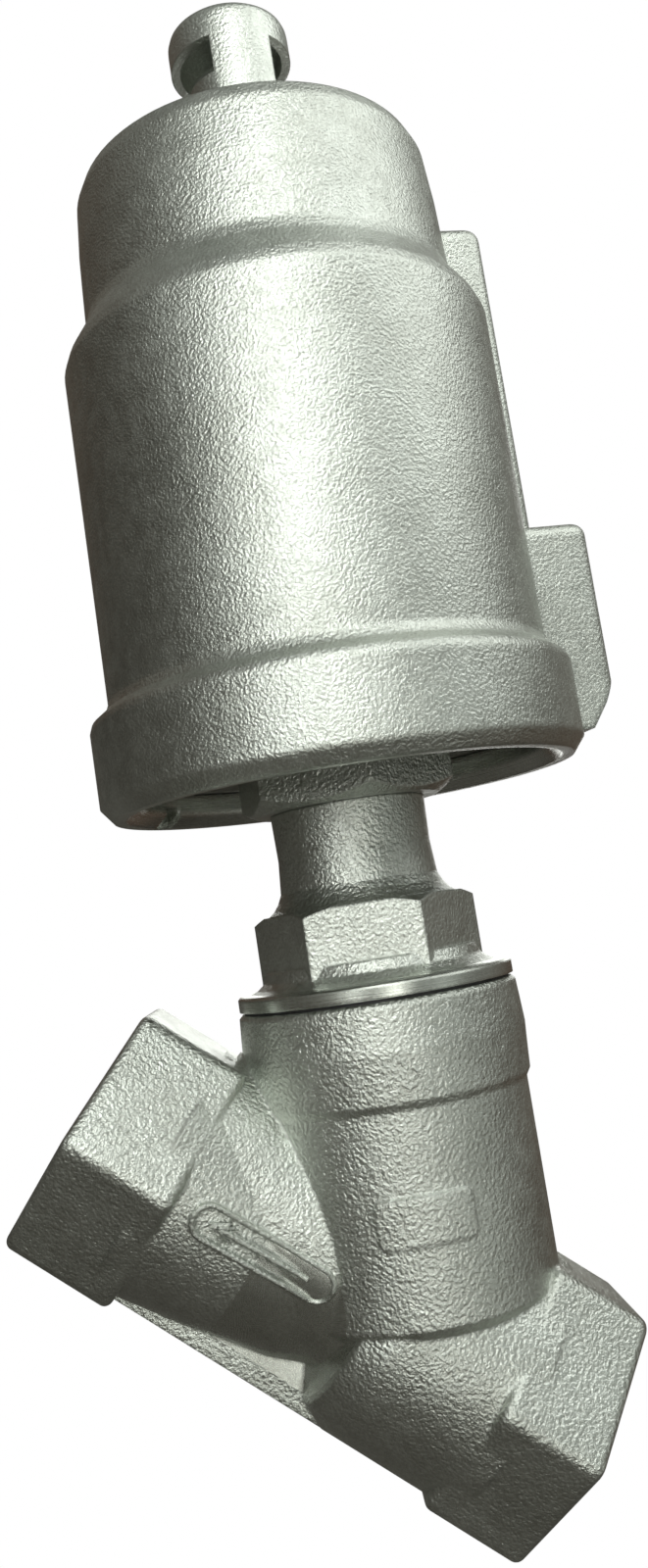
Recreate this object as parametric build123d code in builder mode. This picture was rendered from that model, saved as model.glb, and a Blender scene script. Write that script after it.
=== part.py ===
from build123d import *
from math import cos, radians, sin, sqrt
import os

os.makedirs("parts", exist_ok=True)

# Angle seat valve, G1 (DN 25), in millimetres. The pipe runs along +X from the inlet
# face at the origin, and the stem leans over the outlet in the XZ plane.
LENGTH = 90.0
HEX_AF = 40.0
HEX_INLET_LENGTH = 16.7
HEX_OUTLET_LENGTH = 18.5
HEX_EDGE_RADIUS = 2.6
PORT_RADIUS = 16.62          # G1 thread, at its root
PORT_DEPTH = 16.0
STEM_TILT = 50.0
STEM_FOOT = 25.7             # where the stem axis crosses the pipe axis

# Body
TUBE_RADIUS = 20.5
TUBE_END = 38.0
CHAMBER_OUTER_RADIUS = 21.9
CHAMBER_INNER_RADIUS = 18.0
CHAMBER_BOTTOM = 5.0
BAND_RADIUS = 22.6
BAND_BOTTOM = 38.1
BODY_TOP = 53.4
SPIGOT_RADIUS = 19.0
SPIGOT_BOTTOM = 41.0
DUCT_RADIUS = 17.6
DUCT_RISE = 4.0
SEAT_WALL_BOTTOM = 4.5
SEAT_WALL_TOP = 9.5
SEAT_TOP = 11.0
ORIFICE_RADIUS = 11.5
INLET_BORE_RADIUS = 14.5
WEB_DEPTH = 20.7
WEB_THICKNESS = 4.0

# Stem and plug
STEM_RADIUS = 5.0
RUNNING_FIT = 0.05
STROKE = 7.0

# Bonnet
COLLAR_RADIUS = 22.4
COLLAR_BOTTOM = 53.9
COLLAR_TOP = 56.3
BONNET_HEX_AF = 31.4
BONNET_HEX_TURN = 25.0
BONNET_HEX_BOTTOM = 57.0
BONNET_HEX_TOP = 68.2
NECK_RADIUS = 13.0
NECK_THREAD_RADIUS = 11.0
NECK_TOP = 84.5
BONNET_TOP = 98.0
PACKING_RADIUS = 8.5

# Actuator
ACTUATOR_TURN = 10.0
COVER_HEX_AF = 32.0
COVER_HEX_TOP = 94.5
COVER_TOP = 104.0
MOUTH_RADIUS = 33.4
BELL_RIM = 87.0
BELL_RIM_RADIUS = 38.1
BELL_COLLAR_RADIUS = 40.0
BELL_RADIUS = 36.5
BORE_RADIUS = 31.5
BORE_TOP = 160.0
CAVITY_RADIUS = 26.0
CAVITY_TOP = 188.0
BELL_TOP = 195.0
PISTON_BOTTOM = 106.0
PISTON_TOP = 116.0
ROD_RADIUS = 4.0
CAP_RADIUS = 10.6
CAP_BORE = 9.0
CAP_TOP = 222.5
RIB_REACH = 38.8
RIB_TOP = 182.6
BOSS_REACH = 46.8
BOSS_BOTTOM = 91.0
BOSS_TOP = 126.5
BOSS_WIDTH = 21.0
AIR_PORT_RADIUS = 4.86       # G1/8 thread, at its root
AIR_PORT_DEPTH = 8.5
AIR_PORT_HEIGHTS = (103.6, 118.6)
CHANNEL_REACH = 35.2

TILT_COS = cos(radians(STEM_TILT))
TILT_SIN = sin(radians(STEM_TILT))
STEM = Plane(origin=(STEM_FOOT, 0, 0), x_dir=(0, 1, 0), z_dir=(TILT_COS, 0, TILT_SIN))
TURN_COS = cos(radians(ACTUATOR_TURN))
TURN_SIN = sin(radians(ACTUATOR_TURN))
ACTUATOR = Plane(origin=(STEM_FOOT, 0, 0), z_dir=(TILT_COS, 0, TILT_SIN),
                 x_dir=(-TURN_SIN * TILT_SIN, TURN_COS, TURN_SIN * TILT_COS))
PROFILE = Plane(origin=(STEM_FOOT, 0, 0), x_dir=(-TILT_SIN, 0, TILT_COS), z_dir=(0, 1, 0))
STEM_AXIS = Axis((STEM_FOOT, 0, 0), (TILT_COS, 0, TILT_SIN))


def turned(*outline, mode=Mode.ADD):
    """Revolve a closed (radius, height) outline about the stem axis."""
    with BuildSketch(PROFILE) as section:
        with BuildLine():
            Polyline(*outline, close=True)
        make_face()
    revolve(section.sketch, axis=STEM_AXIS, mode=mode)


def ring(inner, outer, bottom, top, mode=Mode.ADD):
    """A plain ring, or a disc when inner is 0, about the stem axis."""
    turned((inner, bottom), (outer, bottom), (outer, top), (inner, top), mode=mode)


def piped(*outline, mode=Mode.ADD):
    """Revolve a closed (x, radius) outline about the pipe axis."""
    with BuildSketch(Plane.XZ) as section:
        with BuildLine():
            Polyline(*outline, close=True)
        make_face()
    revolve(section.sketch, axis=Axis.X, mode=mode)


def hexagon(across_flats, turn=0.0):
    """A hexagon in the current sketch, one corner at the given angle."""
    RegularPolygon(radius=across_flats / sqrt(3), side_count=6, rotation=turn)


def radial_plane(height, reach):
    """A plane square to the actuator's rib side, facing outwards."""
    origin = ACTUATOR.from_local_coords((0, reach, height))
    return Plane(origin=origin, x_dir=ACTUATOR.x_dir, z_dir=ACTUATOR.y_dir)


def save(built, name):
    built.part.label = name
    export_step(built.part, f"parts/{name}.step")


# ---------------------------------------------------------------- valve body

def pipe_hexagon(start, length):
    """One cast hexagon end, its corners and both rims rounded."""
    with BuildPart() as end:
        with BuildSketch(Plane.YZ.offset(start)):
            hexagon(HEX_AF)
        extrude(amount=length)
        fillet(end.edges().filter_by(Axis.X), HEX_EDGE_RADIUS)
        fillet(end.edges().group_by(Axis.X)[0], 1.4)
        fillet(end.edges().group_by(Axis.X)[-1], 1.4)
    return end.part


def oval_badge():
    """A raised oval rim round a plain flow arrow, on the outlet side's flank."""
    with BuildPart() as badge:
        with BuildSketch(Plane.XZ.offset(-8)):
            with Locations((56.6, 0.4)):
                SlotOverall(24.0, 5.8)
                SlotOverall(22.4, 4.2, mode=Mode.SUBTRACT)
                Rectangle(12.0, 1.1)
            with Locations((63.8, 0.4)):
                RegularPolygon(radius=1.9, side_count=3)
        extrude(amount=-14)
        with BuildSketch(Plane.XZ):
            with BuildLine():
                Polyline((40, 0), (40, 14.3), (46.5, 16.6), (72, 20.9), (72, 0), close=True)
            make_face()
        revolve(axis=Axis.X, mode=Mode.INTERSECT)
    return badge.part


def side_pad():
    """A faint raised rectangle, left bare, on the chamber's flank."""
    with BuildPart() as pad:
        with BuildSketch(Plane(origin=STEM.origin, x_dir=PROFILE.x_dir, z_dir=(0, 1, 0))):
            with Locations((0.6, 21.8)):
                RectangleRounded(14.6, 7.0, 1.2)
        extrude(amount=24)
        ring(0, CHAMBER_OUTER_RADIUS + 0.45, CHAMBER_BOTTOM, BAND_BOTTOM, mode=Mode.INTERSECT)
    return pad.part


def make_valve_body():
    hexagons = [pipe_hexagon(0, HEX_INLET_LENGTH),
                pipe_hexagon(LENGTH - HEX_OUTLET_LENGTH, HEX_OUTLET_LENGTH)]
    marks = [oval_badge(), side_pad()]
    hollows = [inlet_hollow(), outlet_hollow()]
    with BuildPart() as body:
        # Chamber, with the wider band that takes the bonnet's thread
        turned((0, CHAMBER_BOTTOM), (20.4, CHAMBER_BOTTOM), (CHAMBER_OUTER_RADIUS, 6.6),
               (CHAMBER_OUTER_RADIUS, BAND_BOTTOM - 0.6), (BAND_RADIUS, BAND_BOTTOM + 0.6),
               (23.0, 46.0), (BAND_RADIUS, BODY_TOP - 0.6), (BAND_RADIUS - 0.6, BODY_TOP),
               (0, BODY_TOP))
        # Inlet tube and the outlet side, which widens from the seat to its hexagon
        piped((12, 0), (12, TUBE_RADIUS), (TUBE_END - 4, TUBE_RADIUS), (TUBE_END, 18.6),
              (TUBE_END + 2.5, 13.6), (46.5, 15.8), (60, 18.3), (76, 20.6), (76, 0))
        # Duct that rises from the outlet side to the chamber
        with BuildSketch(Plane.YZ.offset(34)):
            with Locations((0, DUCT_RISE)):
                Circle(DUCT_RADIUS)
        extrude(amount=40)
        # Flat casting web along the bottom
        with BuildSketch(Plane.XZ.offset(-WEB_THICKNESS / 2)):
            with BuildLine():
                Polyline((13, 0), (76, 0), (76, -WEB_DEPTH), (13, -WEB_DEPTH), close=True)
            make_face()
        extrude(amount=WEB_THICKNESS)
        for piece in hexagons + marks:
            add(piece)
        # Inlet passage below the slanted seat wall, and outlet passage above it
        for hollow in hollows:
            add(hollow, mode=Mode.SUBTRACT)
        # Seat lip and orifice
        turned((ORIFICE_RADIUS, SEAT_WALL_TOP - 1), (13.4, SEAT_WALL_TOP - 1), (13.4, SEAT_TOP - 0.8),
               (12.6, SEAT_TOP), (ORIFICE_RADIUS, SEAT_TOP))
        ring(0, ORIFICE_RADIUS, SEAT_WALL_BOTTOM - 2, SEAT_TOP, mode=Mode.SUBTRACT)
        # Bonnet thread bore
        ring(0, SPIGOT_RADIUS, SPIGOT_BOTTOM, BODY_TOP, mode=Mode.SUBTRACT)
        # Port threads
        piped((0, 0), (0, PORT_RADIUS), (PORT_DEPTH, PORT_RADIUS), (PORT_DEPTH, 0),
              mode=Mode.SUBTRACT)
        piped((LENGTH, 0), (LENGTH, PORT_RADIUS), (LENGTH - PORT_DEPTH, PORT_RADIUS),
              (LENGTH - PORT_DEPTH, 0), mode=Mode.SUBTRACT)
    save(body, "valve_body")


def inlet_hollow():
    with BuildPart() as hollow:
        piped((PORT_DEPTH - 1, 0), (PORT_DEPTH - 1, INLET_BORE_RADIUS), (31, INLET_BORE_RADIUS), (36.5, 12.0),
              (40, 10.2), (46, 9.6), (46, 0))
        ring(0, 60, -60, SEAT_WALL_BOTTOM, mode=Mode.INTERSECT)
    return hollow.part


def outlet_hollow():
    with BuildPart() as hollow:
        piped((36, 0), (36, 11.0), (50, 12.4), (LENGTH - PORT_DEPTH + 1, 15.8),
              (LENGTH - PORT_DEPTH + 1, 0))
        with BuildSketch(Plane.YZ.offset(36)):
            with Locations((0, DUCT_RISE)):
                Circle(DUCT_RADIUS - 4.4)
        extrude(amount=LENGTH - PORT_DEPTH + 1 - 36)
        ring(0, 70, SEAT_WALL_TOP, 90, mode=Mode.INTERSECT)
        ring(0, CHAMBER_INNER_RADIUS, SEAT_WALL_TOP, BODY_TOP)
    return hollow.part


def make_body_gasket():
    with BuildPart() as gasket:
        ring(SPIGOT_RADIUS + 0.02, 21.6, BODY_TOP, COLLAR_BOTTOM)
    save(gasket, "body_gasket")


# ------------------------------------------------------- bonnet and packing

def make_bonnet():
    with BuildPart() as bonnet:
        # Threaded spigot, machined collar and the fillet under the hexagon
        turned((0, SPIGOT_BOTTOM + 0.1), (SPIGOT_RADIUS - 1.4, SPIGOT_BOTTOM + 0.1),
               (SPIGOT_RADIUS - 0.02, SPIGOT_BOTTOM + 1.5), (SPIGOT_RADIUS - 0.02, COLLAR_BOTTOM),
               (COLLAR_RADIUS, COLLAR_BOTTOM), (COLLAR_RADIUS, COLLAR_TOP - 0.5),
               (COLLAR_RADIUS - 0.5, COLLAR_TOP), (20.2, COLLAR_TOP), (19.0, 56.8), (17.8, 57.8),
               (17.2, 59.5), (0, 59.5))
        # Neck, widening into the hexagon, and its thread in the end cover
        turned((0, 59), (15.4, 66.5), (15.4, 68.3), (14.5, 69.0), (13.7, 70.1), (NECK_RADIUS, 71.6),
               (12.6, 77), (NECK_RADIUS - 0.2, NECK_TOP - 0.1), (NECK_THREAD_RADIUS, NECK_TOP - 0.1),
               (NECK_THREAD_RADIUS, BONNET_TOP - 0.8), (NECK_THREAD_RADIUS - 0.8, BONNET_TOP),
               (0, BONNET_TOP))
        add(bonnet_hexagon())
        # Guide bush seat, packing chamber and gland thread
        ring(0, 8.0, SPIGOT_BOTTOM - 1, 52, mode=Mode.SUBTRACT)
        ring(0, 5.4, 51, 60, mode=Mode.SUBTRACT)
        ring(0, PACKING_RADIUS, 58, BONNET_TOP, mode=Mode.SUBTRACT)
    save(bonnet, "bonnet")


def bonnet_hexagon():
    """The spanner hexagon, its upper and lower corners turned off."""
    with BuildPart() as spanner:
        with BuildSketch(STEM.offset(BONNET_HEX_BOTTOM)):
            hexagon(BONNET_HEX_AF, BONNET_HEX_TURN)
        extrude(amount=BONNET_HEX_TOP - BONNET_HEX_BOTTOM)
        turned((0, BONNET_HEX_BOTTOM), (17.4, BONNET_HEX_BOTTOM), (18.6, BONNET_HEX_BOTTOM + 0.8),
               (18.6, BONNET_HEX_TOP - 1.3), (16.4, BONNET_HEX_TOP), (0, BONNET_HEX_TOP),
               mode=Mode.INTERSECT)
    return spanner.part


def make_guide_bush():
    with BuildPart() as bush:
        ring(STEM_RADIUS + RUNNING_FIT, 7.98, 41.5, 51.9)
    save(bush, "guide_bush")


def make_stem_wiper():
    with BuildPart() as wiper:
        turned((STEM_RADIUS + 0.08, 58.1), (PACKING_RADIUS - 0.02, 58.1), (PACKING_RADIUS - 0.02, 60.0),
               (6.6, 60.0), (STEM_RADIUS + 0.08, 59.0))
    save(wiper, "stem_wiper")


def make_packing_rings():
    """Four chevron rings, stacked."""
    with BuildPart() as rings:
        for row in range(4):
            base = 60.2 + 2.6 * row
            outer = PACKING_RADIUS - 0.03
            inner = STEM_RADIUS + 0.06
            middle = (inner + outer) / 2
            turned((inner, base), (middle, base + 1.2), (outer, base), (outer, base + 1.3),
                   (middle, base + 2.5), (inner, base + 1.3))
    save(rings, "packing_rings")


def make_packing_washer():
    with BuildPart() as washer:
        ring(STEM_RADIUS + 0.3, PACKING_RADIUS - 0.05, 70.7, 72.2)
    save(washer, "packing_washer")


def make_coil(name, radius, wire, bottom, top, turns):
    """A compression spring about the stem axis, its end coils ground flat."""
    with BuildPart() as coil:
        start = STEM.from_local_coords((0, 0, bottom + wire * 0.5))
        climb = top - bottom - wire
        with BuildLine() as path:
            Helix(pitch=climb / turns, height=climb, radius=radius, center=start,
                  direction=STEM.z_dir)
        with BuildSketch(Plane(origin=path.line @ 0, z_dir=path.line % 0)):
            Circle(wire)
        sweep(path=path.line, is_frenet=True)
        ring(0, radius + 2 * wire, bottom, top, mode=Mode.INTERSECT)
    save(coil, name)


def make_packing_gland():
    with BuildPart() as gland:
        ring(STEM_RADIUS + RUNNING_FIT, PACKING_RADIUS - 0.02, 84.2, 96.5)
        ring(0, 6.6, 92.5, 96.5, mode=Mode.SUBTRACT)
    save(gland, "packing_gland")


def make_neck_o_ring():
    with BuildPart() as seal:
        turned((STEM_RADIUS + 0.08, 92.9), (6.55, 92.9), (6.55, 94.9), (STEM_RADIUS + 0.08, 94.9))
    save(seal, "stem_o_ring")


# ------------------------------------------------------------------ actuator

def cover_hexagon():
    """The end cover's hexagon, its lower corners turned off at 30 degrees."""
    with BuildPart() as spanner:
        with BuildSketch(STEM.offset(NECK_TOP)):
            hexagon(COVER_HEX_AF, ACTUATOR_TURN)
        extrude(amount=COVER_HEX_TOP - NECK_TOP)
        turned((0, NECK_TOP), (15.2, NECK_TOP), (18.8, NECK_TOP + 2.1), (18.8, COVER_HEX_TOP),
               (0, COVER_HEX_TOP), mode=Mode.INTERSECT)
    return spanner.part


def make_end_cover():
    with BuildPart() as cover:
        turned((0, 94.2), (25.0, 94.2), (26.2, 95.2), (32.6, 95.2), (MOUTH_RADIUS - 0.03, 96.0),
               (MOUTH_RADIUS - 0.03, 97.8), (31.2, 97.8), (31.2, 100.6),
               (MOUTH_RADIUS - 0.03, 100.6), (MOUTH_RADIUS - 0.03, COVER_TOP - 0.2),
               (0, COVER_TOP - 0.2))
        add(cover_hexagon())
        ring(0, NECK_THREAD_RADIUS + 0.02, NECK_TOP - 1, BONNET_TOP + 0.2, mode=Mode.SUBTRACT)
        ring(0, STEM_RADIUS + RUNNING_FIT, BONNET_TOP, COVER_TOP, mode=Mode.SUBTRACT)
        ring(0, 6.9, 100.4, 102.4, mode=Mode.SUBTRACT)
    save(cover, "end_cover")


def make_cover_seals():
    with BuildPart() as outer_seal:
        turned((31.25, 98.0), (33.35, 98.0), (33.35, 100.4), (31.25, 100.4))
        fillet(outer_seal.edges(), 0.8)
    save(outer_seal, "end_cover_o_ring")
    with BuildPart() as rod_seal:
        ring(STEM_RADIUS + 0.08, 6.85, 100.5, 102.3)
    save(rod_seal, "cover_rod_seal")


def make_retaining_ring():
    """Snap ring in the bell's mouth, with a gap between two eyed lugs."""
    with BuildPart() as snap:
        with BuildSketch(ACTUATOR.offset(92.7)):
            Circle(34.8)
            Circle(31.2, mode=Mode.SUBTRACT)
            with PolarLocations(30.2, 2, start_angle=-116, angular_range=16, endpoint=True):
                Circle(2.9)
                Circle(1.1, mode=Mode.SUBTRACT)
            with PolarLocations(31.5, 1, start_angle=-108):
                Rectangle(12, 4.4, mode=Mode.SUBTRACT)
        extrude(amount=2.1)
    save(snap, "retaining_ring")


def air_boss():
    """The two-port boss on the rib side, tapered at its lower end."""
    with BuildPart() as boss:
        with BuildSketch(ACTUATOR.offset(BOSS_BOTTOM)):
            with Locations((0, 38)):
                Rectangle(BOSS_WIDTH, 2 * (BOSS_REACH - 38))
        extrude(amount=BOSS_TOP - BOSS_BOTTOM)
        with BuildSketch(Plane(origin=STEM.origin, x_dir=ACTUATOR.y_dir, z_dir=ACTUATOR.x_dir)):
            with BuildLine():
                Polyline((28, BOSS_BOTTOM - 1), (40.6, BOSS_BOTTOM - 1), (44.2, 95.0),
                         (BOSS_REACH, 99.5), (BOSS_REACH, BOSS_TOP + 1), (28, BOSS_TOP + 1),
                         close=True)
            make_face()
        extrude(amount=BOSS_WIDTH, both=True, mode=Mode.INTERSECT)
        long_edges = boss.edges().filter_by(lambda e: abs(e.length - (BOSS_TOP - 99.5)) < 0.1)
        fillet(long_edges, 3.0)
        fillet(boss.faces().sort_by(STEM_AXIS)[-1].edges(), 2.2)
    return boss.part


def air_rib():
    """The rib that carries air up to the spring side."""
    with BuildPart() as rib:
        with BuildSketch(ACTUATOR.offset(BOSS_TOP - 8)):
            with Locations((0, 30)):
                RectangleRounded(13.0, 2 * (RIB_REACH - 30), 3.0)
        extrude(amount=RIB_TOP - BOSS_TOP + 8)
        fillet(rib.faces().sort_by(STEM_AXIS)[-1].edges(), 2.4)
    return rib.part


def make_actuator_bell():
    attachments = [air_boss(), air_rib()]
    with BuildPart() as bell:
        turned((0, BELL_RIM), (BELL_RIM_RADIUS, BELL_RIM), (BELL_COLLAR_RADIUS, 89.4),
               (BELL_COLLAR_RADIUS, 101.5), (39.6, 102.6), (37.2, 104.4), (BELL_RADIUS, 106.0),
               (36.2, 161.6), (35.4, 163.6), (32.3, 168.2), (31.5, 170.4), (31.0, 183),
               (30.3, 191.2), (29.2, 193.6), (27.2, BELL_TOP), (0, BELL_TOP))
        for piece in attachments:
            add(piece)
        # Mouth with its lead-in, snap-ring groove, piston bore and spring cavity
        turned((0, BELL_RIM - 5), (36.0, BELL_RIM - 5), (36.0, BELL_RIM), (MOUTH_RADIUS, 89.0),
               (MOUTH_RADIUS, COVER_TOP), (BORE_RADIUS, COVER_TOP), (BORE_RADIUS, BORE_TOP),
               (CAVITY_RADIUS + 1.5, BORE_TOP + 4), (CAVITY_RADIUS, BORE_TOP + 7),
               (CAVITY_RADIUS, CAVITY_TOP), (0, CAVITY_TOP), mode=Mode.SUBTRACT)
        ring(30, 35.0, 92.5, 95.0, mode=Mode.SUBTRACT)
        # Indicator bore, its seal groove and the cap's thread
        ring(0, ROD_RADIUS + RUNNING_FIT, CAVITY_TOP - 1, BELL_TOP, mode=Mode.SUBTRACT)
        ring(0, 5.6, 189.2, 191.0, mode=Mode.SUBTRACT)
        ring(0, 9.6, 192.2, BELL_TOP + 1, mode=Mode.SUBTRACT)
        # Notch cast into the rim's far side
        with BuildSketch(ACTUATOR.offset(BELL_RIM)):
            with PolarLocations(35.5, 1, start_angle=-128):
                Rectangle(5.0, 4.4)
        extrude(amount=3.4, mode=Mode.SUBTRACT)
        # Air ports, the drilling below the piston, and the way up the rib
        for height in AIR_PORT_HEIGHTS:
            with BuildSketch(radial_plane(height, BOSS_REACH)):
                Circle(AIR_PORT_RADIUS)
            extrude(amount=-AIR_PORT_DEPTH, mode=Mode.SUBTRACT)
        with BuildSketch(radial_plane(105.6, BOSS_REACH - 7)):
            Circle(1.2)
        extrude(amount=-(BOSS_REACH - 7 - 30), mode=Mode.SUBTRACT)
        with BuildSketch(radial_plane(AIR_PORT_HEIGHTS[1], BOSS_REACH - 7)):
            Circle(1.6)
        extrude(amount=-(BOSS_REACH - 7 - CHANNEL_REACH), mode=Mode.SUBTRACT)
        with BuildSketch(ACTUATOR.offset(AIR_PORT_HEIGHTS[1])):
            with Locations((0, CHANNEL_REACH)):
                Circle(1.6)
        extrude(amount=175 - AIR_PORT_HEIGHTS[1], mode=Mode.SUBTRACT)
        with BuildSketch(radial_plane(173, CHANNEL_REACH)):
            Circle(1.2)
        extrude(amount=-(CHANNEL_REACH - 25), mode=Mode.SUBTRACT)
    save(bell, "actuator_bell")


def make_indicator_cap():
    with BuildPart() as cap:
        turned((9.55 - 1.6, 192.3), (9.55, 192.3), (9.55, BELL_TOP), (CAP_RADIUS, BELL_TOP),
               (CAP_RADIUS, 220.8), (10.0, 222.0), (9.0, CAP_TOP), (0, CAP_TOP), (0, 220.9),
               (CAP_BORE, 220.9), (CAP_BORE, 194.0), (9.55 - 1.6, 194.0))
        # Two side windows leave a front and a back tab
        with BuildSketch(ACTUATOR.offset(195.4)):
            with Locations((0, 10), (0, -10)):
                Rectangle(24, 20)
            Rectangle(40, 10.4, rotation=90, mode=Mode.SUBTRACT)
        extrude(amount=21.1, mode=Mode.SUBTRACT)
    save(cap, "indicator_cap")


def make_indicator_seal():
    with BuildPart() as seal:
        ring(ROD_RADIUS + 0.08, 5.55, 189.25, 190.95)
    save(seal, "indicator_seal")


# ------------------------------------------------------------- moving pieces

def make_stem():
    with BuildPart() as stem:
        turned((0, 13.2), (3.4, 13.2), (4.0, 13.8), (4.0, 20.2), (STEM_RADIUS, 20.2),
               (STEM_RADIUS, PISTON_BOTTOM), (4.0, PISTON_BOTTOM), (4.0, 126.0), (3.5, 126.5),
               (0, 126.5))
        with BuildSketch(STEM.offset(17.2)):
            Rectangle(10.0, 1.6)
    save(stem, "stem")


def make_plug():
    with BuildPart() as disc:
        turned((4.02, 15.2), (15.0, 15.2), (15.0, 19.2), (9.0, 21.6), (9.0, 25.0), (5.03, 25.0),
               (5.03, 20.2), (4.02, 20.2))
        ring(12.5, 15.0, 12.6, 15.2)
    save(disc, "plug_disc")
    with BuildPart() as face:
        ring(4.02, 12.48, SEAT_TOP + 0.02, 15.18)
        ring(12.48, 13.6, SEAT_TOP + 0.02, 12.58)
    save(face, "disc_seal")
    with BuildPart() as nut:
        ring(4.02, 8.0, 8.6, SEAT_TOP)
    save(nut, "disc_washer")


def make_piston():
    with BuildPart() as piston:
        turned((4.02, PISTON_BOTTOM + 0.02), (24.0, PISTON_BOTTOM + 0.02), (25.0, 107.2),
               (31.0, 107.2), (31.35, 107.6), (31.35, 109.0), (28.4, 109.0), (28.4, 112.0),
               (31.35, 112.0), (31.35, 113.0), (30.0, 113.0), (30.0, 115.4), (31.35, 115.4),
               (31.35, PISTON_TOP), (11.0, PISTON_TOP), (11.0, 114.0), (4.02, 114.0))
    save(piston, "piston")
    with BuildPart() as seal:
        turned((28.45, 109.1), (31.42, 109.1), (31.42, 111.9), (30.6, 111.9), (30.0, 110.8),
               (29.2, 111.9), (28.45, 111.9))
    save(seal, "piston_seal")
    with BuildPart() as band:
        ring(30.03, 31.42, 113.05, 115.35)
    save(band, "piston_wear_ring")
    with BuildPart() as washer:
        ring(4.04, 10.0, 114.02, 116.0)
    save(washer, "piston_washer")
    with BuildPart() as nut:
        with BuildSketch(STEM.offset(116.02)):
            hexagon(14.0, 12)
            Circle(4.03, mode=Mode.SUBTRACT)
        extrude(amount=6.4)
    save(nut, "piston_nut")


def make_indicator_post():
    with BuildPart() as post:
        turned((0, 126.6), (ROD_RADIUS, 126.6), (ROD_RADIUS, 196.0), (8.0, 196.0), (8.0, 211.8),
               (7.2, 213.2), (6.0, 213.7), (0, 213.7))
    save(post, "indicator_post")


make_valve_body()
make_body_gasket()
make_bonnet()
make_guide_bush()
make_stem_wiper()
make_packing_rings()
make_packing_washer()
make_coil("packing_spring", 6.75, 0.8, 72.3, 84.1, 4)
make_packing_gland()
make_neck_o_ring()
make_end_cover()
make_cover_seals()
make_retaining_ring()
make_actuator_bell()
make_indicator_cap()
make_indicator_seal()
make_stem()
make_plug()
make_piston()
make_indicator_post()
make_coil("outer_spring", 21.6, 1.8, 116.1, 187.9, 6)
make_coil("inner_spring", 13.4, 1.3, 116.1, 187.9, 8)
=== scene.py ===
import math

import bmesh
import bpy
from mathutils import Matrix, Vector


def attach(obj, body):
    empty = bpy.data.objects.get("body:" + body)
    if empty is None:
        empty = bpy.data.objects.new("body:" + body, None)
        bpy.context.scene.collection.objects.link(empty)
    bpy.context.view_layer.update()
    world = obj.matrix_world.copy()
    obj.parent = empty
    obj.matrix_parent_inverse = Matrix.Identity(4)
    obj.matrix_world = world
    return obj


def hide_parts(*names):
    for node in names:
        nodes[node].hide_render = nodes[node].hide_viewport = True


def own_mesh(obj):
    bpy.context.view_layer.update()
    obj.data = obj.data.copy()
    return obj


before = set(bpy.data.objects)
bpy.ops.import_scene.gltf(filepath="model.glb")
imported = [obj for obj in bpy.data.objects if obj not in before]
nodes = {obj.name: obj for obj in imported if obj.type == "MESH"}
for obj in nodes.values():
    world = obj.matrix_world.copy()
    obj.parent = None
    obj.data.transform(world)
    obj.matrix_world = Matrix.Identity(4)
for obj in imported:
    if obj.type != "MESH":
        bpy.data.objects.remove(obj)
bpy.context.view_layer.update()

# Levels along the stem, radii and reaches are in mm, and become metres where points are made.
# X is the pipe, Z is up, and the camera is on the +Y side.
MM = 0.001
PER_METRE = 1000.0
TILT = math.radians(50)            # the stem over the pipe
TURN = math.radians(10)            # the actuator about the stem
FOOT = Vector((25.7 * MM, 0, 0))   # where the stem's axis meets the pipe's
STEM = Vector((math.cos(TILT), 0, math.sin(TILT)))
UP = Vector((0, 0, 1))
NEAR = Vector((0, 1, 0))
SIDE = STEM.cross(NEAR)
RIB = -math.sin(TURN) * NEAR + math.cos(TURN) * SIDE    # towards the rib and the air boss
TAB = math.cos(TURN) * NEAR + math.sin(TURN) * SIDE     # towards the cap's near tab


def on_stem(level):
    """The point of the stem's axis at a level, in mm."""
    return FOOT / MM + STEM * level


# ---------------------------------------------------------------- materials

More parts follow.
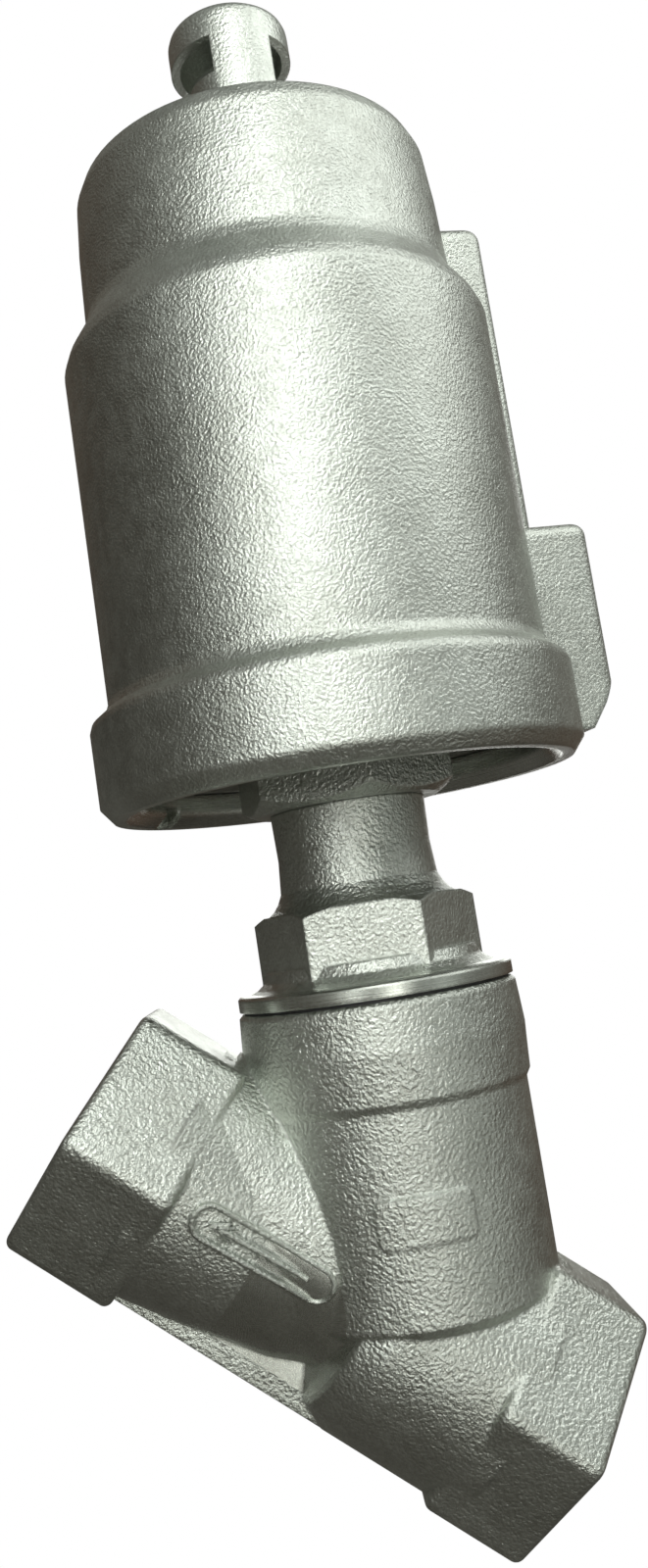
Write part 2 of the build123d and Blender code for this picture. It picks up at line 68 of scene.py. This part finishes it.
class Shader:
    """A material's node tree, with short calls for the maths that the masks need."""

    def __init__(self, name):
        self.material = bpy.data.materials.new(name)
        self.material.use_nodes = True
        self.tree = self.material.node_tree
        self.surface = self.tree.nodes["Principled BSDF"]
        place = self.add("ShaderNodeTexCoord")
        self.place = place.outputs["Object"]

    def add(self, kind, **settings):
        node = self.tree.nodes.new(kind)
        for key, value in settings.items():
            setattr(node, key, value)
        return node

    def feed(self, socket, value):
        if isinstance(value, bpy.types.NodeSocket):
            self.tree.links.new(value, socket)
        else:
            socket.default_value = value

    def math(self, operation, first, second=0.0):
        node = self.add("ShaderNodeMath", operation=operation)
        self.feed(node.inputs[0], first)
        self.feed(node.inputs[1], second)
        return node.outputs[0]

    def vector(self, operation, first, second=(0, 0, 0)):
        node = self.add("ShaderNodeVectorMath", operation=operation)
        self.feed(node.inputs[0], first)
        self.feed(node.inputs[1], second)
        scalar = operation in ("DOT_PRODUCT", "LENGTH")
        return node.outputs["Value" if scalar else "Vector"]

    def noise(self, scale, detail=2.0, rough=0.5, where=None):
        node = self.add("ShaderNodeTexNoise")
        self.feed(node.inputs["Vector"], self.place if where is None else where)
        node.inputs["Scale"].default_value = scale
        node.inputs["Detail"].default_value = detail
        node.inputs["Roughness"].default_value = rough
        return node.outputs["Fac"]

    def cells(self, scale):
        node = self.add("ShaderNodeTexVoronoi", feature="F1")
        self.feed(node.inputs["Vector"], self.place)
        node.inputs["Scale"].default_value = scale
        return node.outputs["Distance"]

    def spread(self, value, low, high, to_low=0.0, to_high=1.0):
        node = self.add("ShaderNodeMapRange", clamp=True)
        self.feed(node.inputs["Value"], value)
        node.inputs["From Min"].default_value = low
        node.inputs["From Max"].default_value = high
        node.inputs["To Min"].default_value = to_low
        node.inputs["To Max"].default_value = to_high
        return node.outputs["Result"]

    def invert(self, value):
        return self.math("SUBTRACT", 1.0, value)

    def blend(self, factor, first, second):
        node = self.add("ShaderNodeMix", data_type="FLOAT")
        self.feed(node.inputs[0], factor)
        self.feed(node.inputs[2], first)
        self.feed(node.inputs[3], second)
        return node.outputs[0]

    def tint(self, factor, first, second):
        node = self.add("ShaderNodeMix", data_type="RGBA")
        self.feed(node.inputs[0], factor)
        node.inputs[6].default_value = (*first, 1)
        node.inputs[7].default_value = (*second, 1)
        return node.outputs[2]

    def bump(self, height, strength, distance, under=None):
        node = self.add("ShaderNodeBump")
        self.feed(node.inputs["Height"], height)
        self.feed(node.inputs["Strength"], strength)
        node.inputs["Distance"].default_value = distance
        if under is not None:
            self.feed(node.inputs["Normal"], under)
        return node.outputs["Normal"]

    def height_on_stem(self):
        """Height along the stem and distance from its axis, in mm."""
        offset = self.vector("SUBTRACT", self.place, tuple(FOOT))
        height = self.vector("DOT_PRODUCT", offset, tuple(STEM))
        radius = self.vector("LENGTH", self.vector("CROSS_PRODUCT", offset, tuple(STEM)))
        return (self.math("MULTIPLY", height, PER_METRE),
                self.math("MULTIPLY", radius, PER_METRE))

    def tool_rings(self, scale):
        """The fine rings that a lathe leaves about the stem."""
        height, radius = self.height_on_stem()
        lines = self.add("ShaderNodeCombineXYZ")
        self.feed(lines.inputs[0], height)
        self.feed(lines.inputs[1], radius)
        return self.noise(scale, 2.0, 0.6, lines.outputs[0])

    def distance_from_pipe(self):
        """Distance from the pipe's axis, in mm."""
        flat = self.vector("MULTIPLY", self.place, (0, PER_METRE, PER_METRE))
        return self.vector("LENGTH", flat)

    def between(self, value, low, high):
        return self.math("MULTIPLY", self.math("GREATER_THAN", value, low),
                         self.math("LESS_THAN", value, high))


# Where castings are machined, in mm
PORT_RADIUS = 17.7
COLLAR_LEVELS = (30.0, 56.45)
MOUTH_LEVELS = (80.0, 104.5)
MOUTH_RADIUS = 36.2
BOSS_FACE_REACH = 46.72

# How deep each relief is, in metres
COARSE_DEPTH = 0.00045
PEBBLE_DEPTH = 0.00034
RING_DEPTH = 0.00006
SKIN_DEPTH = 0.00008

# Steel's colour where the skin is bright and where it is dull
CAST_LIGHT = (0.70, 0.735, 0.685)
CAST_DARK = (0.50, 0.52, 0.475)


def machined_port(shader):
    """Inside the two pipe ports."""
    return shader.math("LESS_THAN", shader.distance_from_pipe(), PORT_RADIUS)


def machined_collar(shader):
    """The bonnet's collar and spigot, under its hexagon."""
    height, _ = shader.height_on_stem()
    return shader.between(height, *COLLAR_LEVELS)


def machined_mouth(shader):
    """The bell's turned mouth and piston bore, and the faced air boss."""
    height, radius = shader.height_on_stem()
    mouth = shader.math("MULTIPLY", shader.between(height, *MOUTH_LEVELS),
                        shader.math("LESS_THAN", radius, MOUTH_RADIUS))
    offset = shader.vector("SUBTRACT", shader.place, tuple(FOOT))
    along_rib = shader.vector("DOT_PRODUCT", offset, tuple(RIB))
    reach = shader.math("MULTIPLY", along_rib, PER_METRE)
    face = shader.math("GREATER_THAN", reach, BOSS_FACE_REACH)
    return shader.math("MAXIMUM", mouth, face)


def cast_steel(name, grain, relief, edge, machined=None):
    """Shot-blasted stainless casting. grain (pebble size) and edge (rounding) are in mm."""
    s = Shader(name)
    pebbles = s.noise(PER_METRE / grain, 2.0, 0.5)

    # Colour: pebbles over a slow cloud
    cloud = s.noise(60, 4.0, 0.6)
    shade = s.math("ADD", s.math("MULTIPLY", cloud, 0.55), s.math("MULTIPLY", pebbles, 0.45))
    s.feed(s.surface.inputs["Base Color"],
           s.tint(s.spread(shade, 0.36, 0.64), CAST_DARK, CAST_LIGHT))

    # Coarse relief: lumps all over, with wandering grooves and pits in a few patches
    lumps = s.noise(PER_METRE / (grain * 4.5), 3.0, 0.6)
    grooves = s.spread(s.math("ABSOLUTE", s.math("SUBTRACT", s.noise(210, 1.0), 0.5)), 0.0, 0.035)
    grooved = s.spread(s.noise(30, 1.0), 0.58, 0.66)
    grooves = s.math("MAXIMUM", grooves, s.invert(grooved))
    pits = s.spread(s.cells(170), 0.05, 0.13)
    pitted = s.spread(s.noise(45, 1.0), 0.62, 0.68)
    pits = s.math("MAXIMUM", pits, s.invert(pitted))
    coarse = s.math("ADD", s.math("MULTIPLY", lumps, 0.22), s.math("MULTIPLY", grooves, 0.12))
    coarse = s.math("ADD", coarse, s.math("MULTIPLY", pits, 0.45))

    rough = s.spread(s.noise(420, 3.0), 0.3, 0.7, 0.33, 0.43)
    cast = 1.0
    if machined is not None:
        turned = machined(s)
        cast = s.invert(turned)
        rings = s.tool_rings(7.0)
        rough = s.blend(turned, rough, s.spread(rings, 0.3, 0.7, 0.20, 0.34))

    rounded = s.add("ShaderNodeBevel", samples=4)
    rounded.inputs["Radius"].default_value = edge * MM
    normal = s.bump(coarse, s.math("MULTIPLY", cast, 0.55 * relief), COARSE_DEPTH,
                    rounded.outputs[0])
    normal = s.bump(pebbles, s.math("MULTIPLY", cast, relief), PEBBLE_DEPTH, normal)
    if machined is not None:
        normal = s.bump(rings, s.math("MULTIPLY", turned, 0.22), RING_DEPTH, normal)
    s.feed(s.surface.inputs["Normal"], normal)
    s.feed(s.surface.inputs["Roughness"], rough)
    s.surface.inputs["Metallic"].default_value = 1.0
    return s.material


def turned_metal(name, colour, rough_low, rough_high):
    """Lathe-turned metal: fine rings about the stem."""
    s = Shader(name)
    rings = s.tool_rings(6.0)
    wear = s.noise(300, 3.0)
    darker = tuple(0.82 * part for part in colour)
    s.feed(s.surface.inputs["Base Color"], s.tint(s.spread(wear, 0.35, 0.65), darker, colour))
    s.feed(s.surface.inputs["Roughness"], s.spread(rings, 0.3, 0.7, rough_low, rough_high))
    s.feed(s.surface.inputs["Normal"], s.bump(rings, 0.25, RING_DEPTH))
    s.surface.inputs["Metallic"].default_value = 1.0
    return s.material


def moulded(name, dark, light, rough, grain):
    """Rubber, graphite or PTFE: mottled, with a fine skin. grain is in mm."""
    s = Shader(name)
    mottle = s.noise(250, 3.0)
    skin = s.noise(PER_METRE / grain, 2.0)
    s.feed(s.surface.inputs["Base Color"], s.tint(s.spread(mottle, 0.35, 0.65), dark, light))
    s.feed(s.surface.inputs["Roughness"], s.spread(skin, 0.3, 0.7, rough - 0.08, rough + 0.08))
    s.feed(s.surface.inputs["Normal"], s.bump(skin, 0.3, SKIN_DEPTH))
    return s.material


body_cast = cast_steel("cast_body", 0.56, 0.8, 0.9, machined_port)
bell_cast = cast_steel("cast_bell", 0.46, 0.58, 1.5, machined_mouth)
bonnet_cast = cast_steel("cast_bonnet", 0.56, 0.7, 0.6, machined_collar)
cover_cast = cast_steel("cast_cover", 0.56, 0.8, 0.6)
cap_cast = cast_steel("cast_cap", 0.5, 0.45, 0.4)
stainless = turned_metal("turned_stainless", (0.65, 0.67, 0.63), 0.18, 0.32)
spring = turned_metal("spring_wire", (0.42, 0.41, 0.39), 0.28, 0.42)
alloy = turned_metal("turned_aluminium", (0.74, 0.74, 0.75), 0.22, 0.36)
ptfe = moulded("white_ptfe", (0.74, 0.73, 0.69), (0.84, 0.83, 0.79), 0.45, 0.3)
rubber = moulded("black_rubber", (0.012, 0.012, 0.012), (0.03, 0.03, 0.03), 0.55, 0.25)
graphite = moulded("graphite_gasket", (0.01, 0.01, 0.01), (0.035, 0.035, 0.036), 0.6, 0.2)

# Every node that isn't here is turned stainless
FINISHES = {
    "valve_body": body_cast, "bonnet": bonnet_cast, "actuator_bell": bell_cast,
    "end_cover": cover_cast, "indicator_cap": cap_cast, "body_gasket": graphite,
    "retaining_ring": spring, "packing_spring": spring, "outer_spring": spring,
    "inner_spring": spring, "piston": alloy, "indicator_post": cap_cast,
    "guide_bush": ptfe, "packing_rings": ptfe, "disc_seal": ptfe, "piston_wear_ring": ptfe,
    "stem_wiper": rubber, "stem_o_ring": rubber, "end_cover_o_ring": rubber,
    "cover_rod_seal": rubber, "indicator_seal": rubber, "piston_seal": rubber,
}


def paint(thing, material):
    thing.data.materials.clear()
    thing.data.materials.append(material)


for name, node in nodes.items():
    paint(node, FINISHES.get(name, stainless))


# ------------------------------------------------------------ added geometry

def mesh_piece(name, points, faces, material, body, smooth=True):
    mesh = bpy.data.meshes.new(name)
    mesh.from_pydata([tuple(point) for point in points], [], faces)
    mesh.update()
    for polygon in mesh.polygons:
        polygon.use_smooth = smooth
    piece = bpy.data.objects.new(name, mesh)
    bpy.context.scene.collection.objects.link(piece)
    paint(piece, material)
    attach(piece, body)
    return piece


def tube_faces(rings, sides, closed=False):
    """The quads between rings of points that follow each other, or that close in a loop."""
    faces = []
    for ring in range(rings if closed else rings - 1):
        following = (ring + 1) % rings
        for side in range(sides):
            beside = (side + 1) % sides
            faces.append((sides * ring + side, sides * ring + beside,
                          sides * following + beside, sides * following + side))
    return faces


# A thread's section, in pitches: how deep it is, the half widths of its crest and foot, and how
# far the foot is sunk in the wall, in depths
THREAD_DEPTH = 0.64
CREST_HALF = 0.08
FOOT_HALF = 0.48
FOOT_SUNK = -0.03
THREAD_STEPS = 72


def thread(name, mouth, inward, wall, pitch, length, material, side_up):
    """An internal pipe thread: one ridge wound down the bore, thin at both ends."""
    across = inward.cross(side_up)
    depth = THREAD_DEPTH * pitch
    count = int(length / pitch * THREAD_STEPS)
    half_turn = THREAD_STEPS * 0.5
    points, faces = [], []
    for step in range(count + 1):
        angle = 2 * math.pi * step / THREAD_STEPS
        fade = min(1.0, step / half_turn, (count - step) / half_turn)
        outward = math.cos(angle) * side_up + math.sin(angle) * across
        along = (step / THREAD_STEPS + 0.5) * pitch
        section = ((-FOOT_HALF, FOOT_SUNK), (-CREST_HALF, fade),
                   (CREST_HALF, fade), (FOOT_HALF, FOOT_SUNK))
        for offset, rise in section:
            radius = wall - depth * rise
            points.append((mouth + inward * (along + offset * pitch) + outward * radius) * MM)
    for step in range(count):
        for k in range(3):
            first = 4 * step + k
            faces.append((first, first + 1, first + 5, first + 4))
    piece = mesh_piece(name, points, faces, material, "valve", smooth=False)


# Bore radius, pitch and length of the thread, in mm
PIPE_THREAD = (16.62, 2.309, 13.6)
AIR_THREAD = (4.86, 0.907, 7.0)

for label, start, inward in (("inlet", 0.9, 1), ("outlet", 89.1, -1)):
    thread(f"{label}_thread", Vector((start, 0, 0)), Vector((inward, 0, 0)), *PIPE_THREAD,
           stainless, UP)
for label, level in (("lower", 103.6), ("upper", 118.6)):
    mouth = on_stem(level) + RIB * 46.6
    thread(f"{label}_air_thread", mouth, -RIB, *AIR_THREAD, stainless, STEM)


def coil(name, radius, wire, bottom, top, turns):
    """A spring drawn in place of its node, which it hides."""
    steps, sides = 40, 12
    count = steps * turns
    points = []
    for step in range(count + 1):
        angle = 2 * math.pi * step / steps
        outward = math.cos(angle) * NEAR + math.sin(angle) * SIDE
        level = bottom + wire + (top - bottom - 2 * wire) * step / count
        centre = on_stem(level) + outward * radius
        for side in range(sides):
            turn = 2 * math.pi * side / sides
            ring = math.cos(turn) * outward + math.sin(turn) * STEM
            points.append((centre + ring * wire) * MM)
    faces = tube_faces(count + 1, sides)
    faces.append(tuple(range(sides - 1, -1, -1)))
    faces.append(tuple(range(sides * count, sides * (count + 1))))
    piece = mesh_piece(name, points, faces, spring, "valve")
    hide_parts(name.replace("_coil", "_spring"))
    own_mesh(piece)


SPRING_BOTTOM, SPRING_TOP = 116.1, 187.9
coil("outer_coil", 21.6, 1.8, SPRING_BOTTOM, SPRING_TOP, 6)
coil("inner_coil", 13.4, 1.3, SPRING_BOTTOM, SPRING_TOP, 8)


def lathe(outline, first, last, steps, zero):
    """Points and faces of an arc of a ring, open at its ends: an outline of (radius, level)
    turned about the stem, from one angle to another in degrees from zero."""
    aside = STEM.cross(zero)
    size = len(outline)
    points, faces = [], []
    for column in range(steps + 1):
        angle = math.radians(first + (last - first) * column / steps)
        outward = math.cos(angle) * zero + math.sin(angle) * aside
        for radius, level in outline:
            points.append((on_stem(level) + outward * radius) * MM)
    for column in range(steps):
        for k in range(size):
            n = (k + 1) % size
            faces.append((size * column + k, size * (column + 1) + k,
                          size * (column + 1) + n, size * column + n))
    return points, faces


# Half of the angle that one of the cap's tabs spans, in degrees
TAB_HALF_ANGLE = 29.4
WELD_DISTANCE = 0.00001
SHARP_ANGLE = 0.7


def indicator_cap():
    """The cap: a crown on a near and a far tab, open at both sides over the indicator."""
    crown = [(0.05, 222.5), (8.7, 222.5), (9.6, 222.25), (10.25, 221.7), (10.55, 220.9),
             (10.6, 220.0), (10.6, 216.5), (9.0, 216.5), (9.0, 220.9), (0.05, 220.9)]
    tab = crown[:7] + [(10.6, 194.9), (9.0, 194.9)] + crown[7:]
    tab_edge = (6, 7, 8, 9)
    open_steps, tab_steps = 30, 16
    arcs = ((crown, TAB_HALF_ANGLE, 180 - TAB_HALF_ANGLE, open_steps),
            (tab, 180 - TAB_HALF_ANGLE, 180 + TAB_HALF_ANGLE, tab_steps),
            (crown, 180 + TAB_HALF_ANGLE, 360 - TAB_HALF_ANGLE, open_steps),
            (tab, -TAB_HALF_ANGLE, TAB_HALF_ANGLE, tab_steps))
    points, faces = [], []
    for outline, first, last, steps in arcs:
        more, sides = lathe(outline, first, last, steps, TAB)
        faces += [tuple(len(points) + k for k in side) for side in sides]
        if outline is tab:
            for column in (0, steps * len(tab)):
                faces.append(tuple(len(points) + column + k for k in tab_edge))
        points += more
    cap = mesh_piece("indicator_cap_cast", points, faces, cap_cast, "valve")
    welded = bmesh.new()
    welded.from_mesh(cap.data)
    bmesh.ops.remove_doubles(welded, verts=welded.verts, dist=WELD_DISTANCE)
    bmesh.ops.recalc_face_normals(welded, faces=welded.faces)
    welded.to_mesh(cap.data)
    welded.free()
    cap.data.set_sharp_from_angle(angle=SHARP_ANGLE)
    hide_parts("indicator_cap")


def parting_line():
    """The mould's fine seam down each of the cap's tabs."""
    section = ((-0.25, 10.5), (0, 10.72), (0.25, 10.5))
    for label, direction in (("near", TAB), ("far", -TAB)):
        across = STEM.cross(direction)
        points = []
        for level in (195.6, 216.4):
            for aside, reach in section:
                points.append((on_stem(level) + direction * reach + across * aside) * MM)
        faces = [(0, 1, 4, 3), (1, 2, 5, 4)]
        seam = mesh_piece(f"cap_seam_{label}", points, faces, cap_cast, "valve")


# Where rays that look for the body's near flank start, and the flank where they find none
RAY_START = 60
FLANK = 17
BEAD_SIDES = 8


def raised_line(name, path, radius, closed):
    """A soft raised bead that follows the body's near side through (x, z) points in mm."""
    body = nodes["valve_body"]
    centres = []
    for x, z in path:
        hit, place, _, _ = body.ray_cast(Vector((x, RAY_START, z)) * MM, -NEAR)
        centres.append(place if hit else Vector((x, FLANK, z)) * MM)
    count = len(centres)
    points = []
    for index, centre in enumerate(centres):
        after = centres[(index + 1) % count if closed else min(index + 1, count - 1)]
        before = centres[index - 1 if closed or index else 0]
        along = (after - before).normalized()
        across = along.cross(NEAR).normalized()
        lift = across.cross(along).normalized()
        for side in range(BEAD_SIDES):
            turn = 2 * math.pi * side / BEAD_SIDES
            points.append(centre + (math.cos(turn) * across + math.sin(turn) * lift) * radius * MM)
    bead = mesh_piece(name, points, tube_faces(count, BEAD_SIDES, closed), body_cast, "valve")


def straight(start, end, steps):
    return [(start[0] + (end[0] - start[0]) * k / steps, start[1] + (end[1] - start[1]) * k / steps)
            for k in range(steps + 1)]


def badge():
    """The cast oval on the outlet side's flank, round an arrow that shows the flow."""
    middle, level, half, round_end = 56.6, 0.4, 9.2, 2.5
    oval = []
    for end in (1, -1):
        for k in range(13):
            angle = math.radians(-90 * end + 15 * k)
            oval.append((middle + end * half + round_end * math.cos(angle),
                         level + round_end * math.sin(angle)))
        edge = level + end * round_end
        oval += straight((middle + end * half, edge), (middle - end * half, edge), 16)[1:-1]
    raised_line("badge_rim", oval, 0.42, True)
    shaft = straight((middle - 7.5, level), (middle + 7.4, level), 16)
    raised_line("badge_shaft", shaft, 0.45, False)
    for label, away in (("upper", 1.35), ("lower", -1.35)):
        barb = straight((middle + 5.0, level + away), (middle + 7.6, level), 5)
        raised_line(f"badge_barb_{label}", barb, 0.42, False)


indicator_cap()
parting_line()
badge()

# ------------------------------------------------------------ stage and light

scene = bpy.context.scene
scene.view_settings.view_transform = "Standard"


def camera_white(tree, other):
    """Pure white to the camera, the other shader to every other ray."""
    path = tree.nodes.new("ShaderNodeLightPath")
    white = tree.nodes.new("ShaderNodeEmission")
    white.inputs["Color"].default_value = (1, 1, 1, 1)
    mix = tree.nodes.new("ShaderNodeMixShader")
    tree.links.new(path.outputs["Is Camera Ray"], mix.inputs[0])
    tree.links.new(other, mix.inputs[1])
    tree.links.new(white.outputs[0], mix.inputs[2])
    return mix.outputs[0]


# The room: its brightest direction, and (position, colour) from its dim side to its bright one
ROOM_BRIGHT_SIDE = (0.10, 0.62, 0.78)
ROOM_TONES = ((0.34, (0.17, 0.122, 0.092, 1)), (0.92, (0.50, 0.53, 0.50, 1)))
ROOM_STRENGTH = 0.52


def build_world():
    """A dim warm room, brighter in front and overhead; white behind the object."""
    world = bpy.data.worlds.new("studio")
    scene.world = world
    world.use_nodes = True
    tree = world.node_tree
    tree.nodes.clear()
    where = tree.nodes.new("ShaderNodeTexCoord")
    facing = tree.nodes.new("ShaderNodeVectorMath")
    facing.operation = "DOT_PRODUCT"
    tree.links.new(where.outputs["Generated"], facing.inputs[0])
    facing.inputs[1].default_value = ROOM_BRIGHT_SIDE
    ramp = tree.nodes.new("ShaderNodeValToRGB")
    for element, (position, colour) in zip(ramp.color_ramp.elements, ROOM_TONES):
        element.position = position
        element.color = colour
    halved = tree.nodes.new("ShaderNodeMath")
    halved.operation = "MULTIPLY_ADD"
    tree.links.new(facing.outputs["Value"], halved.inputs[0])
    halved.inputs[1].default_value = 0.5
    halved.inputs[2].default_value = 0.5
    tree.links.new(halved.outputs[0], ramp.inputs[0])
    room = tree.nodes.new("ShaderNodeBackground")
    tree.links.new(ramp.outputs[0], room.inputs[0])
    room.inputs["Strength"].default_value = ROOM_STRENGTH
    output = tree.nodes.new("ShaderNodeOutputWorld")
    tree.links.new(camera_white(tree, room.outputs[0]), output.inputs[0])


def build_floor():
    """A floor well below: white to the camera, dark in reflections, clear from under."""
    bpy.ops.mesh.primitive_plane_add(size=3.0, location=(0.08, 0, -0.16))
    floor = bpy.context.object
    floor.name = "floor"
    material = bpy.data.materials.new("pale_floor")
    material.use_nodes = True
    tree = material.node_tree
    surface = tree.nodes["Principled BSDF"]
    surface.inputs["Base Color"].default_value = (0.10, 0.09, 0.08, 1)
    surface.inputs["Roughness"].default_value = 0.8
    shown = camera_white(tree, surface.outputs[0])
    back = tree.nodes.new("ShaderNodeNewGeometry")
    clear = tree.nodes.new("ShaderNodeBsdfTransparent")
    mix = tree.nodes.new("ShaderNodeMixShader")
    tree.links.new(back.outputs["Backfacing"], mix.inputs[0])
    tree.links.new(shown, mix.inputs[1])
    tree.links.new(clear.outputs[0], mix.inputs[2])
    tree.links.new(mix.outputs[0], tree.nodes["Material Output"].inputs[0])
    paint(floor, material)


def area_light(name, place, target, size, power, colour):
    data = bpy.data.lights.new(name, "AREA")
    data.shape = "RECTANGLE"
    data.size, data.size_y = size
    data.energy = power
    data.color = colour
    lamp = bpy.data.objects.new(name, data)
    scene.collection.objects.link(lamp)
    lamp.location = place
    lamp.rotation_euler = (Vector(target) - Vector(place)).to_track_quat("-Z", "Y").to_euler()


# Name, place and target in metres, width and height, watts, colour
MIDDLE = (0.075, 0, 0.07)
BODY = (0.035, 0, 0.02)
LIGHTS = (
    ("key", (0.34, 0.62, 0.27), MIDDLE, (0.24, 0.95), 3.0, (0.98, 1.0, 0.965)),
    ("overhead", (0.0, 0.15, 0.75), MIDDLE, (0.6, 0.5), 1.6, (0.98, 1.0, 0.97)),
    ("fill_right", (-0.55, 0.45, 0.15), MIDDLE, (0.35, 0.6), 0.3, (0.95, 1.0, 0.93)),
    ("body_key", (-0.09, 0.60, -0.04), BODY, (0.15, 0.36), 0.55, (1.0, 1.0, 0.94)),
    ("far_side", (0.10, -0.75, 0.30), MIDDLE, (0.5, 0.5), 1.6, (0.98, 1.0, 0.98)),
)

build_world()
build_floor()
for light in LIGHTS:
    area_light(*light)

# ------------------------------------------------------------------ camera

CAMERA_PLACE = Vector((79.24, 211.35, 40.92)) * MM
CAMERA_TURN = (-0.115, -0.038, -0.012)     # a rotation vector, in radians
CAMERA_ROLL = math.radians(32)
SENSOR_HEIGHT = 36.0
FOCAL_IN_PICTURE_HEIGHTS = 0.8183


def build_camera():
    data = bpy.data.cameras.new("camera")
    data.sensor_fit = "VERTICAL"
    data.sensor_height = SENSOR_HEIGHT
    data.lens = SENSOR_HEIGHT * FOCAL_IN_PICTURE_HEIGHTS
    data.clip_start = 0.01
    data.clip_end = 10.0
    camera = bpy.data.objects.new("camera", data)
    scene.collection.objects.link(camera)
    base = Matrix(((-1, 0, 0), (0, 0, -1), (0, -1, 0)))
    roll = Matrix(((math.cos(CAMERA_ROLL), -math.sin(CAMERA_ROLL), 0),
                   (math.sin(CAMERA_ROLL), math.cos(CAMERA_ROLL), 0), (0, 0, 1)))
    turn = Vector(CAMERA_TURN)
    small = Matrix.Rotation(turn.length, 3, turn.normalized())
    right, down, forward = small @ roll @ base
    place = Matrix((right, -down, -forward)).transposed().to_4x4()
    place.translation = CAMERA_PLACE
    camera.matrix_world = place
    scene.camera = camera


build_camera()
